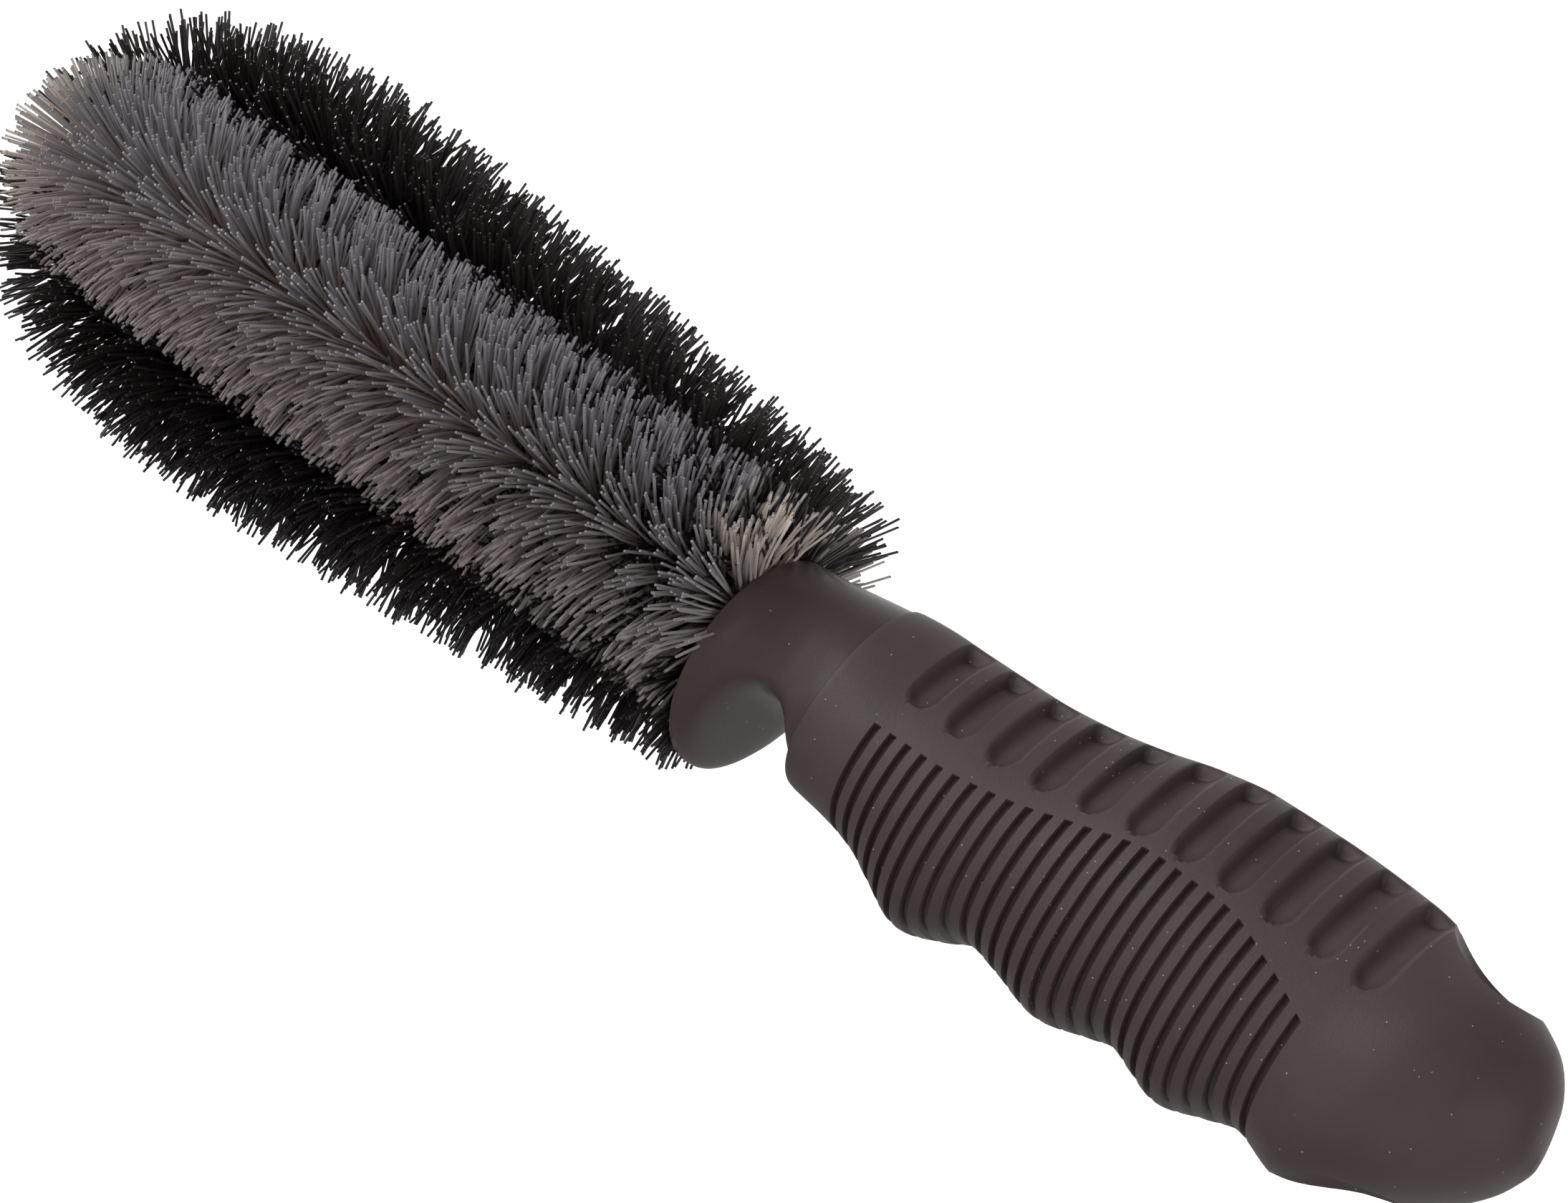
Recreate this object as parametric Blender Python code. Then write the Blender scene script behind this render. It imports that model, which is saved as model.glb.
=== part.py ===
"""Wheel brush: two crossed wire loops set with bristle, held in a moulded handle with a soft grip.

Frame: the origin is the middle of the brush's overall length, on its centre line, +X runs along the
brush towards its tip and +Z towards the spine of the handle. Every size below is in millimetres, and
every x below is measured from the collar's flat front face, which stands ORIGIN_X behind the origin.
"""

import math

import bmesh
import bpy
import numpy as np

MM = 0.001
ORIGIN_X = 17.5

# Side outline of the handle, as (x, z) at y = 0. The grip starts at GRIP_FRONT.
GRIP_FRONT = -20.8
SPINE = [
    (0, 13.4), (-6, 13.9), (-20, 15.8), (-32, 16.9), (-50, 17.3), (-60, 18.3), (-70, 20.2),
    (-80, 22.7), (-90, 24.2), (-105, 24.5), (-120, 23.9), (-130, 22.1), (-140, 19.9),
    (-148, 16.4), (-152.7, 11.0), (-155.6, 0.5),
]
COLLAR_UNDERSIDE = [
    (0, -26.2), (-1.8, -26.1), (-3.2, -24.8), (-4.2, -21.6), (-5.0, -17.8), (-6.1, -13.8),
    (-7.8, -10.6), (-10.2, -8.7), (-12, -8.3), (-14.4, -9.0), (-16.8, -11.2), (-18.6, -14.2),
    (-21, -18.4),
]
GRIP_UNDERSIDE = [
    (-20.8, -18.6), (-27, -19.4), (-37, -21.9), (-42, -24.2), (-50, -27.4), (-56, -25.4),
    (-62.5, -22.6), (-69, -23.8), (-78, -25.8), (-86, -23.7), (-91.5, -22.3), (-97, -23.9),
    (-102, -25.3), (-109, -23.1), (-115.5, -21.2), (-125, -23.6), (-135, -20.4), (-145, -14.2),
    (-152, -7.4), (-155.6, -0.5),
]
# Half of the handle's width, and the height at which it is widest.
HALF_WIDTH = [
    (0, 20.0), (-2, 19.0), (-5, 17.0), (-9, 15.0), (-14, 13.9), (-21, 13.5), (-32, 14.2),
    (-50, 14.8), (-65, 14.6), (-85, 15.5), (-105, 16.2), (-120, 16.4), (-132, 16.9),
    (-142, 15.4), (-150, 11.2), (-154.2, 5.6), (-155.6, 0.6),
]
WIDEST_Z = [
    (0, -6.3), (-4, -3.5), (-11, -2.2), (-18, -3.0), (-32, -5.0), (-50, -6.0), (-85, -3.0),
    (-120, -4.0), (-140, -1.0), (-155.6, 0),
]
# A cross-section's superellipse powers: 2 is an ellipse, less is more pointed, more is squarer.
POWER_TOP = [(0, 2.0), (-20, 1.8), (-32, 1.55), (-120, 1.6), (-140, 1.9), (-155.6, 2.0)]
POWER_BOTTOM = [
    (0, 2.0), (-3.2, 2.2), (-5, 3.2), (-7.5, 5.0), (-12, 6.0), (-17, 4.5), (-20.8, 2.4), (-32, 2.4),
    (-120, 2.4), (-155.6, 2.0),
]
GRIP_LIP = 0.45

# The grip's wide grooves, which run round its underside from an arc on either side.
GROOVE_COUNT = 27
GROOVE_FIRST_X = -32.0
GROOVE_PITCH = 3.28
GROOVE_WIDTH = 1.5
GROOVE_DEPTH = 1.2
GROOVE_TOP = [
    (-32, -2.3), (-45, -2.0), (-58, -0.2), (-71, 3.3), (-84.5, 6.2), (-97, 6.0), (-110, 2.1),
    (-119, -2.0),
]

# The thumb slots on either side of its spine.
SLOT_COUNT = 11
SLOT_FIRST_X = -31.9
SLOT_PITCH = 8.76
SLOT_WIDTH = 5.9
SLOT_DEPTH = 2.2
SLOT_REACH = 0.85

# The hard core inside the grip, as (x, half width, height of its centre, half height).
CORE = [
    (-20.8, 9.6, -1.5, 12.2), (-50, 9.8, -4.5, 14.0), (-90, 10.4, -1.0, 15.0), (-112, 10.4, -0.5, 15.0),
    (-121, 7.6, 0.0, 10.5),
]
CORE_STOPS = (-32, -50, -70, -90, -112, -121)
NECK_END = -20.5
GAP = 0.3

# The hanging hole through the butt, as (height, radius) of its wall.
HOLE_X = -136.5
HOLE_WALL = [
    (-30, 16.0), (-19.0, 10.8), (-15.0, 6.4), (-11.5, 4.7), (12.5, 4.7), (15.5, 5.3), (18.0, 6.9),
    (20.5, 9.3), (27, 15.0),
]

# One leg of a wire loop, from its end in the handle to the loop's apex, as (x, distance from the axis).
LEG = [
    (-44, 3.9), (-32, 3.9), (-20, 3.95), (-10, 4.7), (0, 6.0), (30, 10.2), (60, 14.0), (90, 17.2),
    (115, 19.2), (134, 18.4), (148.6, 14.8), (156.5, 8.8), (159.5, 0),
]
BLACK_APEX_X = 169.1
GREY_APEX_X = 164.3
STRAND_RADIUS = 0.9
STRAND_OFFSET = 1.25
TWIST_PITCH = 18.0
BORE_RADIUS = 2.5
BORE_DEPTH = 45.0
WIRE_ROOM = 2.75
BRISTLE_LENGTH = 22.0
BRISTLE_END_W = 6.0

ROUND_STEPS = 14
EDGE_ROUNDING = 0.5


def remove_all():
    for obj in list(bpy.data.objects):
        bpy.data.objects.remove(obj, do_unlink=True)


def smooth(table, x):
    """Reads a table of (x, value) with a cubic through its points that never overshoots them."""
    xs, ys = (np.array(column, float) for column in zip(*sorted(table)))
    steps = np.diff(xs)
    slopes = np.diff(ys) / steps
    tangents = np.zeros_like(ys)
    tangents[0], tangents[-1] = slopes[0], slopes[-1]
    same_way = slopes[:-1] * slopes[1:] > 0
    both = np.where(same_way, slopes[:-1] * slopes[1:], 0.0)
    total = np.where(same_way, slopes[:-1] + slopes[1:], 1.0)
    tangents[1:-1] = 2.0 * both / total
    x = np.clip(x, xs[0], xs[-1])
    i = np.clip(np.searchsorted(xs, x) - 1, 0, len(steps) - 1)
    t = (x - xs[i]) / steps[i]
    return (
        (1 + 2 * t) * (1 - t) ** 2 * ys[i]
        + t * (1 - t) ** 2 * steps[i] * tangents[i]
        + t * t * (3 - 2 * t) * ys[i + 1]
        + t * t * (t - 1) * steps[i] * tangents[i + 1]
    )


def new_object(name, points, faces, colour, rough):
    mesh = bpy.data.meshes.new(name)
    mesh.from_pydata([((x - ORIGIN_X) * MM, y * MM, z * MM) for x, y, z in points], [], faces)
    bm = bmesh.new()
    bm.from_mesh(mesh)
    bmesh.ops.recalc_face_normals(bm, faces=bm.faces)
    bm.to_mesh(mesh)
    bm.free()
    obj = bpy.data.objects.new(name, mesh)
    bpy.context.scene.collection.objects.link(obj)
    material = bpy.data.materials.new(name)
    material.use_nodes = True
    shader = material.node_tree.nodes["Principled BSDF"]
    shader.inputs["Base Color"].default_value = (*colour, 1.0)
    shader.inputs["Roughness"].default_value = rough
    mesh.materials.append(material)
    return obj


def shade(obj, angle=40.0):
    obj.data.shade_smooth()
    obj.data.set_sharp_from_angle(angle=math.radians(angle))


def tube_faces(rings, size, start=0):
    """Quads between consecutive rings of the same size."""
    faces = []
    for ring in range(rings - 1):
        low = start + ring * size
        for k in range(size):
            after = (k + 1) % size
            faces.append((low + k, low + after, low + size + after, low + size + k))
    return faces


def solid_from_rings(rings):
    """Points and faces of the closed solid that runs through these rings."""
    size = len(rings[0])
    points = [point for ring in rings for point in ring]
    faces = tube_faces(len(rings), size)
    faces.append(tuple(reversed(range(size))))
    faces.append(tuple(range(len(points) - size, len(points))))
    return points, faces


def cut(obj, name, points, faces):
    cutter = new_object(name, points, faces, (0.5, 0.5, 0.5), 0.5)
    cutter.hide_render = True
    cutter.display_type = "WIRE"
    modifier = obj.modifiers.new(name, "BOOLEAN")
    modifier.operation = "DIFFERENCE"
    modifier.solver = "EXACT"
    modifier.object = cutter


def section(x, y_over_w, underside, top_side, grow=0.0):
    """Height of the handle's surface at a fraction of its half width, above or below its widest line."""
    middle = smooth(WIDEST_Z, x)
    power = smooth(POWER_TOP if top_side else POWER_BOTTOM, x)
    edge = (smooth(SPINE, x) + grow) if top_side else (smooth(underside, x) - grow)
    return middle + (edge - middle) * (1 - y_over_w**power) ** (1 / power)


def outline(x, underside, grow=0.0):
    """One side's outline from the spine round to the underside, as (y, z), and the length run at each."""
    width = smooth(HALF_WIDTH, x) + grow
    top = np.sin(np.linspace(0, math.pi / 2, 60))
    path = [(width * f, section(x, f, underside, True, grow)) for f in top]
    path += [(width * f, section(x, f, underside, False, grow)) for f in top[::-1][1:]]
    path = np.array(path)
    return path, np.concatenate([[0], np.cumsum(np.hypot(*np.diff(path, axis=0).T))])


def points_at(path, run, marks):
    return np.stack([np.interp(marks, run, path[:, 0]), np.interp(marks, run, path[:, 1])], axis=1)


def split_outline(x, split_z, upper, lower, grow):
    """The grip's outline, with one point where the grooves start and the next a hair below it."""
    path, run = outline(x, GRIP_UNDERSIDE, grow)
    at_split = np.clip(np.interp(-split_z, -path[:, 1], run), 0.3 * run[-1], 0.7 * run[-1])
    above = np.linspace(0, at_split, upper)
    return points_at(path, run, np.concatenate([above, np.linspace(at_split + 0.05, run[-1], lower)]))


def full_ring(x, half):
    """A closed ring of 3-D points from one side's (y, z) points, mirrored across y = 0."""
    near = [(x, y, z) for y, z in half]
    far = [(x, -y, z) for y, z in half[-2:0:-1]]
    return near + far


def pushed_in(half, depths):
    """One side's points moved inwards, square to the outline."""
    along = np.gradient(half, axis=0)
    along[0], along[-1] = (1, 0), (-1, 0)
    inward = np.stack([along[:, 1], -along[:, 0]], axis=1)
    inward /= np.linalg.norm(inward, axis=1)[:, None]
    return half + inward * np.array(depths)[:, None]


def slot_depth(x, half):
    """How deep the thumb slots are at each of these points: nothing on the spine's ridge, deepest
    beside it, steep towards the head and gentle behind."""
    into = (SLOT_FIRST_X - x) % SLOT_PITCH
    index = (SLOT_FIRST_X - x) // SLOT_PITCH
    if not 0 <= index < SLOT_COUNT or into > SLOT_WIDTH:
        return np.zeros(len(half))
    along = min(into / 0.8, (SLOT_WIDTH - into) / (SLOT_WIDTH - 0.8), 1.0)
    side = half[:, 0] / smooth(HALF_WIDTH, x) / SLOT_REACH
    across = np.clip((1 - side) * 3, 0, 1) * (half[:, 1] > smooth(WIDEST_Z, x))
    across[0] = 0
    return SLOT_DEPTH * along * across


def grip_stations():
    """The x of each ring, and whether it is on the floor of a groove."""
    stations = [(x, False) for x in (GRIP_FRONT, -21.8, -24.5, -28.2)]
    for k in range(GROOVE_COUNT):
        front = GROOVE_FIRST_X - k * GROOVE_PITCH
        back = front - GROOVE_WIDTH
        stations += [(front, False), (front - 0.05, True), (back + 0.05, True), (back, False)]
    rear = (-120.8, -123, -126, -129.5, -133, -136.5, -140, -143, -146, -149, -151.6, -153.6, -154.8, -155.5)
    return stations + [(x, False) for x in rear]


def grip_rings():
    upper, lower = 8, 8
    rings = []
    for x, grooved in grip_stations():
        lip = GRIP_LIP if GRIP_FRONT > x > -30 else 0.1
        half = split_outline(x, smooth(GROOVE_TOP, x), upper, lower, lip)
        depths = slot_depth(x, half)
        if grooved:
            depths[upper:] = GROOVE_DEPTH
        rings.append(full_ring(x, pushed_in(half, depths)))
    return rings


def core_ring(x, size, grow=0.0):
    """An oval ring of the hard core, with as many points as the ring outside it."""
    half_width, middle, half_height = (
        smooth([(row[0], row[column]) for row in CORE], x) + extra
        for column, extra in ((1, grow), (2, 0.0), (3, grow))
    )
    angles = np.linspace(0, 2 * math.pi, size, endpoint=False)
    return [(x, half_width * math.sin(a), middle + half_height * math.cos(a)) for a in angles]


def build_grip():
    outer = grip_rings()
    size = len(outer[0])
    inner = [core_ring(x, size, GAP) for x in (GRIP_FRONT, *CORE_STOPS[:-1])]
    inner.append([(x - GAP, y, z) for x, y, z in core_ring(CORE_STOPS[-1], size, GAP)])
    points, faces = solid_from_rings(inner[::-1] + outer)
    grip = new_object("soft_grip", points, faces, (0.068, 0.055, 0.052), 0.6)
    angles = np.linspace(0, 2 * math.pi, 24, endpoint=False)
    hole = [
        [(HOLE_X + radius * math.cos(a), radius * math.sin(a), z) for a in angles]
        for z, radius in HOLE_WALL
    ]
    cut(grip, "hanging_hole_cutter", *solid_from_rings(hole))
    shade(grip, 30.0)


def loop_leg(apex_x, count, first_x=None):
    """Evenly spaced (x, w) points on a leg, with the unit tangent at each."""
    table = np.array(LEG, float)
    table[:, 0] = np.where(table[:, 0] > 0, table[:, 0] * apex_x / LEG[-1][0], table[:, 0])
    whole = np.concatenate([table, (table * (1, -1))[-2::-1]])
    knots = np.concatenate([[0], np.cumsum(np.hypot(*np.diff(whole, axis=0).T))])
    fine = np.linspace(0, knots[-1] / 2, 1200)
    path = np.stack([catmull(knots, whole[:, column], fine) for column in (0, 1)], axis=1)
    if first_x is not None:
        path = path[path[:, 0] >= first_x]
    run = np.concatenate([[0], np.cumsum(np.hypot(*np.diff(path, axis=0).T))])
    marks = np.linspace(0, run[-1], count)
    even = np.stack([np.interp(marks, run, path[:, column]) for column in (0, 1)], axis=1)
    tangent = np.gradient(even, axis=0)
    tangent[-1] = (0, -1)
    return even, tangent / np.linalg.norm(tangent, axis=1)[:, None], marks


def catmull(knots, values, at):
    """A cubic through the values whose slope at each knot comes from its two neighbours."""
    slopes = np.gradient(values, knots)
    i = np.clip(np.searchsorted(knots, at) - 1, 0, len(knots) - 2)
    step = knots[i + 1] - knots[i]
    t = (at - knots[i]) / step
    return (
        (1 + 2 * t) * (1 - t) ** 2 * values[i]
        + t * (1 - t) ** 2 * step * slopes[i]
        + t * t * (3 - 2 * t) * values[i + 1]
        + t * t * (t - 1) * step * slopes[i + 1]
    )


def place(x, w, b, grey):
    """A point of a loop: w is measured in the loop's plane and b square to it."""
    return (x, w, b) if grey else (x, b, w)


def bore_cutter(grey, sign):
    leg, _, _ = loop_leg(GREY_APEX_X if grey else BLACK_APEX_X, 300)
    stops = [-BORE_DEPTH, -32, -20, -14, -8, -3, 2]
    at_w = np.interp(stops, leg[:80, 0], leg[:80, 1])
    angles = np.linspace(0, 2 * math.pi, 12, endpoint=False)
    rings = [
        [place(x, sign * w + BORE_RADIUS * math.cos(a), BORE_RADIUS * math.sin(a), grey) for a in angles]
        for x, w in zip(stops, at_w)
    ]
    return solid_from_rings(rings)


def build_core():
    stops = (0, -0.7, -1.4, -2.0, -2.5, -3.0, -3.6, -4.4, -5.5, -7, -9, -11, -13, -15, -17, -18.5, -19.7, NECK_END)
    rings = []
    for x in stops:
        path, run = outline(x, COLLAR_UNDERSIDE, -EDGE_ROUNDING if x == 0 else 0.0)
        rings.append(full_ring(x, points_at(path, run, np.linspace(0, run[-1], ROUND_STEPS))))
    size = len(rings[0])
    rings += [core_ring(x, size) for x in (NECK_END, *CORE_STOPS)]
    points, faces = solid_from_rings(rings)
    core = new_object("handle_core", points, faces, (0.062, 0.052, 0.05), 0.42)
    for grey in (False, True):
        for sign in (1, -1):
            name = f"wire_bore_cutter_{'grey' if grey else 'black'}_{'a' if sign > 0 else 'b'}"
            cut(core, name, *bore_cutter(grey, sign))
    shade(core, 35.0)


def build_strand(name, grey, phase):
    """One of the two wires of a loop, wound round the loop's line from end to end."""
    leg, tangent, marks = loop_leg(GREY_APEX_X if grey else BLACK_APEX_X, 76)
    line = np.concatenate([leg, (leg * (1, -1))[-2::-1]])
    along = np.concatenate([tangent, (tangent * (-1, 1))[-2::-1]])
    run = np.concatenate([marks, 2 * marks[-1] - marks[-2::-1]])
    across = np.stack([-along[:, 1], along[:, 0]], axis=1)
    rings = []
    for (x, w), (nx, nw), s in zip(line, across, run):
        turn = 2 * math.pi * s / TWIST_PITCH + phase
        ring = []
        for corner in range(4):
            spoke = turn + math.pi / 2 * corner
            out = STRAND_OFFSET * math.cos(turn) + STRAND_RADIUS * math.cos(spoke)
            side = STRAND_OFFSET * math.sin(turn) + STRAND_RADIUS * math.sin(spoke)
            ring.append(place(x + out * nx, w + out * nw, side, grey))
        rings.append(ring)
    strand = new_object(name, *solid_from_rings(rings), (0.35, 0.35, 0.36), 0.35)
    strand.data.materials[0].node_tree.nodes["Principled BSDF"].inputs["Metallic"].default_value = 1.0
    strand.data.shade_smooth()


def build_bristle_leg(name, grey, sign, colour):
    """The bristle round one leg and its half of the bend, kept to the leg's own quarter."""
    leg, tangent, _ = loop_leg(GREY_APEX_X if grey else BLACK_APEX_X, 400, 0.5)
    last = int(np.argmax((leg[:, 1] < BRISTLE_END_W) & (leg[:, 0] > 100)))
    angles = np.linspace(0, 2 * math.pi, 20, endpoint=False) + math.pi / 20
    outer, inner = [], []
    sparse, dense = np.linspace(0, 0.6 * last, 8), np.linspace(0.67 * last, last, 13)
    for i in np.concatenate([sparse, dense]).astype(int):
        (x, w), (tx, tw) = leg[i], tangent[i]
        if i == 0:
            tx, tw = 1.0, 0.0
        nx, nw = -tw, tx
        ahead = tangent[min(i + 4, 399)] - tangent[max(i - 4, 0)]
        bend = np.linalg.norm(ahead) / max(np.linalg.norm(leg[min(i + 4, 399)] - leg[max(i - 4, 0)]), 1e-6)
        out_ring, in_ring = [], []
        for a in angles:
            cosine, sine = math.cos(a), math.sin(a)
            reach = BRISTLE_LENGTH
            lean = abs(sine) - nw * cosine
            if lean > 0:
                reach = min(reach, (w - GAP) / lean)
            if cosine < 0 and bend > 0:
                reach = min(reach, 0.8 / bend / -cosine)
            for ring, radius in ((out_ring, reach), (in_ring, WIRE_ROOM)):
                out = radius * cosine
                ring.append(place(x + out * nx, sign * (w + out * nw), radius * sine, grey))
        outer.append(out_ring)
        inner.append(in_ring)
    size = len(angles)
    count = len(outer)
    points = [point for ring in outer + inner for point in ring]
    faces = tube_faces(count, size) + [face[::-1] for face in tube_faces(count, size, count * size)]
    for row, flip in ((0, True), (count - 1, False)):
        for k in range(size):
            after = (k + 1) % size
            outside, inside = row * size, (count + row) * size
            face = (outside + k, outside + after, inside + after, inside + k)
            faces.append(face[::-1] if flip else face)
    shade(new_object(name, points, faces, colour, 0.75))


def build_bristle_tip(colour):
    """The black bristle past the crossing of the wires, between the ends of the four legs."""
    start = BLACK_APEX_X + BORE_RADIUS + 0.2
    outline = [(start, 6.4), (start + 6, 8.6), (start + 12, 9.4), (start + 16, 7.4), (start + 18.8, 3.4)]
    angles = np.linspace(0, 2 * math.pi, 16, endpoint=False)
    rings = [[(x, r * math.cos(a), r * math.sin(a)) for a in angles] for x, r in outline]
    shade(new_object("black_bristles_tip", *solid_from_rings(rings), colour, 0.75))


def main():
    remove_all()
    black, grey = (0.012, 0.012, 0.014), (0.16, 0.16, 0.17)
    build_core()
    build_grip()
    for name, is_grey in (("black_wire", False), ("grey_wire", True)):
        build_strand(f"{name}_a", is_grey, 0.0)
        build_strand(f"{name}_b", is_grey, math.pi)
    build_bristle_leg("black_bristles_upper", False, 1, black)
    build_bristle_leg("black_bristles_lower", False, -1, black)
    build_bristle_leg("grey_bristles_near", True, 1, grey)
    build_bristle_leg("grey_bristles_far", True, -1, grey)
    build_bristle_tip(black)


if __name__ == "__main__":
    main()
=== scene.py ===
"""Wheel brush: the visual model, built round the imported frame.

Two wire loops, crossed at right angles and set with bristle, stand in a moulded handle whose soft
grip has thumb slots along its spine and grooves round its underside. The frame's origin is the
middle of the brush's length, +X runs towards its tip and +Z towards the handle's spine. Tables and
sizes of the handle are in millimetres, and everything in the scene is in metres.
"""

import math

import bmesh
import bpy
import numpy as np
from bpy.props import FloatProperty, FloatVectorProperty, IntProperty, PointerProperty
from mathutils import Matrix, Vector


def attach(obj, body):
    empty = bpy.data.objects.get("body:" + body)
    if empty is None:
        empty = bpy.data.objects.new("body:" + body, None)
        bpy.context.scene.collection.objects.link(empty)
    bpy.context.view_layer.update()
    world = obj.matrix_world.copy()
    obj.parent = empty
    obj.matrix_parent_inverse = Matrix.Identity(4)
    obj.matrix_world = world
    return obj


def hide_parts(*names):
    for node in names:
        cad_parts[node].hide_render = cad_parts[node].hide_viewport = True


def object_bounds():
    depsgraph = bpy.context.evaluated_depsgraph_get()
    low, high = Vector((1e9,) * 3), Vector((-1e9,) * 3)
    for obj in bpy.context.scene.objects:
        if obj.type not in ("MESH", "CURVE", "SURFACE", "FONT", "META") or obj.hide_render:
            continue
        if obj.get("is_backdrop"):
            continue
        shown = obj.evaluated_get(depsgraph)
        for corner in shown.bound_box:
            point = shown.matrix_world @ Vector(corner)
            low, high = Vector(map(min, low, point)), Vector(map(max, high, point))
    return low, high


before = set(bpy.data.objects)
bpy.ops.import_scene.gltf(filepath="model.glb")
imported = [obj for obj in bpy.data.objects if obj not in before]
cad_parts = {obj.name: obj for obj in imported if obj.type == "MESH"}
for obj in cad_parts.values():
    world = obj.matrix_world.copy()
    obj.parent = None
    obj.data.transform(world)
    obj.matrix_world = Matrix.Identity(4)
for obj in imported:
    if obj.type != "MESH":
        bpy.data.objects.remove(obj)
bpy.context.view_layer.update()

bl_info = {
    "name": "Wheel Brush",
    "version": (1, 0, 0),
    "blender": (4, 5, 0),
    "location": "3D View > Sidebar > Wheel Brush",
    "description": "Builds a wheel brush with real filaments round its packed frame",
    "category": "Object",
}

MM = 0.001
BODY = "root"
# Every x below is measured from the collar's flat front face, which stands this far behind the origin.
ORIGIN_X = 17.5

# Side outline of the handle, as (x, z) at y = 0. The collar's underside is the hard moulding's.
SPINE = [
    (0, 13.4), (-6, 13.9), (-20, 15.8), (-32, 16.9), (-50, 17.3), (-60, 18.3), (-70, 20.2),
    (-80, 22.7), (-90, 24.2), (-105, 24.5), (-120, 23.9), (-130, 22.1), (-140, 19.9),
    (-148, 16.4), (-152.7, 11.0), (-155.6, 0.5),
]
COLLAR_UNDERSIDE = [
    (0, -26.2), (-1.8, -26.1), (-3.2, -24.8), (-4.2, -21.6), (-5.0, -17.8), (-6.1, -13.8),
    (-7.8, -10.6), (-10.2, -8.7), (-12, -8.3), (-14.4, -9.0), (-16.8, -11.2), (-18.6, -14.2),
    (-21, -18.4),
]
GRIP_UNDERSIDE = [
    (-20.8, -18.6), (-27, -19.4), (-37, -21.9), (-42, -24.2), (-50, -27.4), (-56, -25.4),
    (-62.5, -22.6), (-69, -23.8), (-78, -25.8), (-86, -23.7), (-91.5, -22.3), (-97, -23.9),
    (-102, -25.3), (-109, -23.1), (-115.5, -21.2), (-125, -23.6), (-135, -20.4), (-145, -14.2),
    (-152, -7.4), (-155.6, -0.5),
]
# Half of the handle's width, and the height at which it is widest.
HALF_WIDTH = [
    (0, 20.0), (-2, 19.0), (-5, 17.0), (-9, 15.0), (-14, 13.9), (-21, 13.5), (-32, 14.2),
    (-50, 14.8), (-65, 14.6), (-85, 15.5), (-105, 16.2), (-120, 16.4), (-132, 16.9),
    (-142, 15.4), (-150, 11.2), (-154.2, 5.6), (-155.6, 0.6),
]
WIDEST_Z = [
    (0, -6.3), (-4, -3.5), (-11, -2.2), (-18, -3.0), (-32, -5.0), (-50, -6.0), (-85, -3.0),
    (-120, -4.0), (-140, -1.0), (-155.6, 0),
]
# A cross-section's superellipse powers: 2 is an ellipse, less is more pointed, more is squarer.
POWER_TOP = [(0, 2.0), (-20, 1.8), (-32, 1.55), (-120, 1.6), (-140, 1.9), (-155.6, 2.0)]
POWER_BOTTOM = [
    (0, 2.0), (-3.2, 2.2), (-5, 3.2), (-7.5, 5.0), (-12, 6.0), (-17, 4.5), (-20.8, 2.4), (-32, 2.4),
    (-120, 2.4), (-155.6, 2.0),
]
# How far the grip stands out past the outline: at its front edge, and further back, where it has sunk.
GRIP_LIP = 0.45
GRIP_SUNK = 0.08
LIP_SUNK_X = -36
LIP_FADE = 13
LIP_ROUNDING = 0.3

# The grip's wide grooves, which run round its underside from an arc on either side.
GROOVE_COUNT = 27
GROOVE_FIRST_X = -32.0
GROOVE_PITCH = 3.28
GROOVE_WIDTH = 1.5
GROOVE_DEPTH = 1.2
GROOVE_WALL = 0.22
GROOVE_TOP = [
    (-32, -2.3), (-45, -2.0), (-58, -0.2), (-71, 3.3), (-84.5, 6.2), (-97, 6.0), (-110, 2.1),
    (-119, -2.0),
]
# Where the rings of the grip's mesh lie over one pitch, from a groove's front edge.
GROOVE_STATIONS = (
    -0.12, 0.0, 0.07, 0.15, 0.22, 0.57, 0.92, 1.28, 1.35, 1.43, 1.5, 1.62, 1.95, 2.3, 2.65, 2.95,
)

# The thumb slots on either side of its spine.
SLOT_COUNT = 11
SLOT_FIRST_X = -31.9
SLOT_PITCH = 8.76
SLOT_WIDTH = 5.9
SLOT_DEPTH = 2.6
SLOT_WALL = 1.5
SLOT_REACH = 0.85
SLOT_END = 3.4
# How a slot's floor rises to the next slot, and how its depth falls off outwards and in its round end.
SLOT_FLOOR_POWER = 2.6
SLOT_OUTWARD_LOSS = 0.35
SLOT_END_POWER = 0.4
# Half the width of the ridge that the spine keeps between the slots of either side, and its wall.
RIDGE_HALF = 0.5
RIDGE_WALL = 1.9

# The hard core inside the grip, as (x, half width, height of its centre, half height).
CORE = [
    (-20.8, 9.6, -1.5, 12.2), (-50, 9.8, -4.5, 14.0), (-90, 10.4, -1.0, 15.0), (-112, 10.4, -0.5, 15.0),
    (-121, 7.6, 0.0, 10.5),
]
CORE_END_X = CORE[-1][0]
NECK_END = -20.5
GRIP_START_X = NECK_END - 0.02
GAP = 0.3

# The rounded rim of the collar's front face, and where the straight stretch behind it starts.
RIM = 0.9
RIM_FLATNESS = 0.8
BEHIND_RIM_X = -0.95

# The hanging hole through the butt, as (height, radius) of its wall.
HOLE_X = -136.5
HOLE_WALL = [
    (-30, 16.0), (-19.0, 10.8), (-15.0, 6.4), (-11.5, 4.7), (12.5, 4.7), (15.5, 5.3), (18.0, 6.9),
    (20.5, 9.3), (27, 15.0),
]

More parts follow.
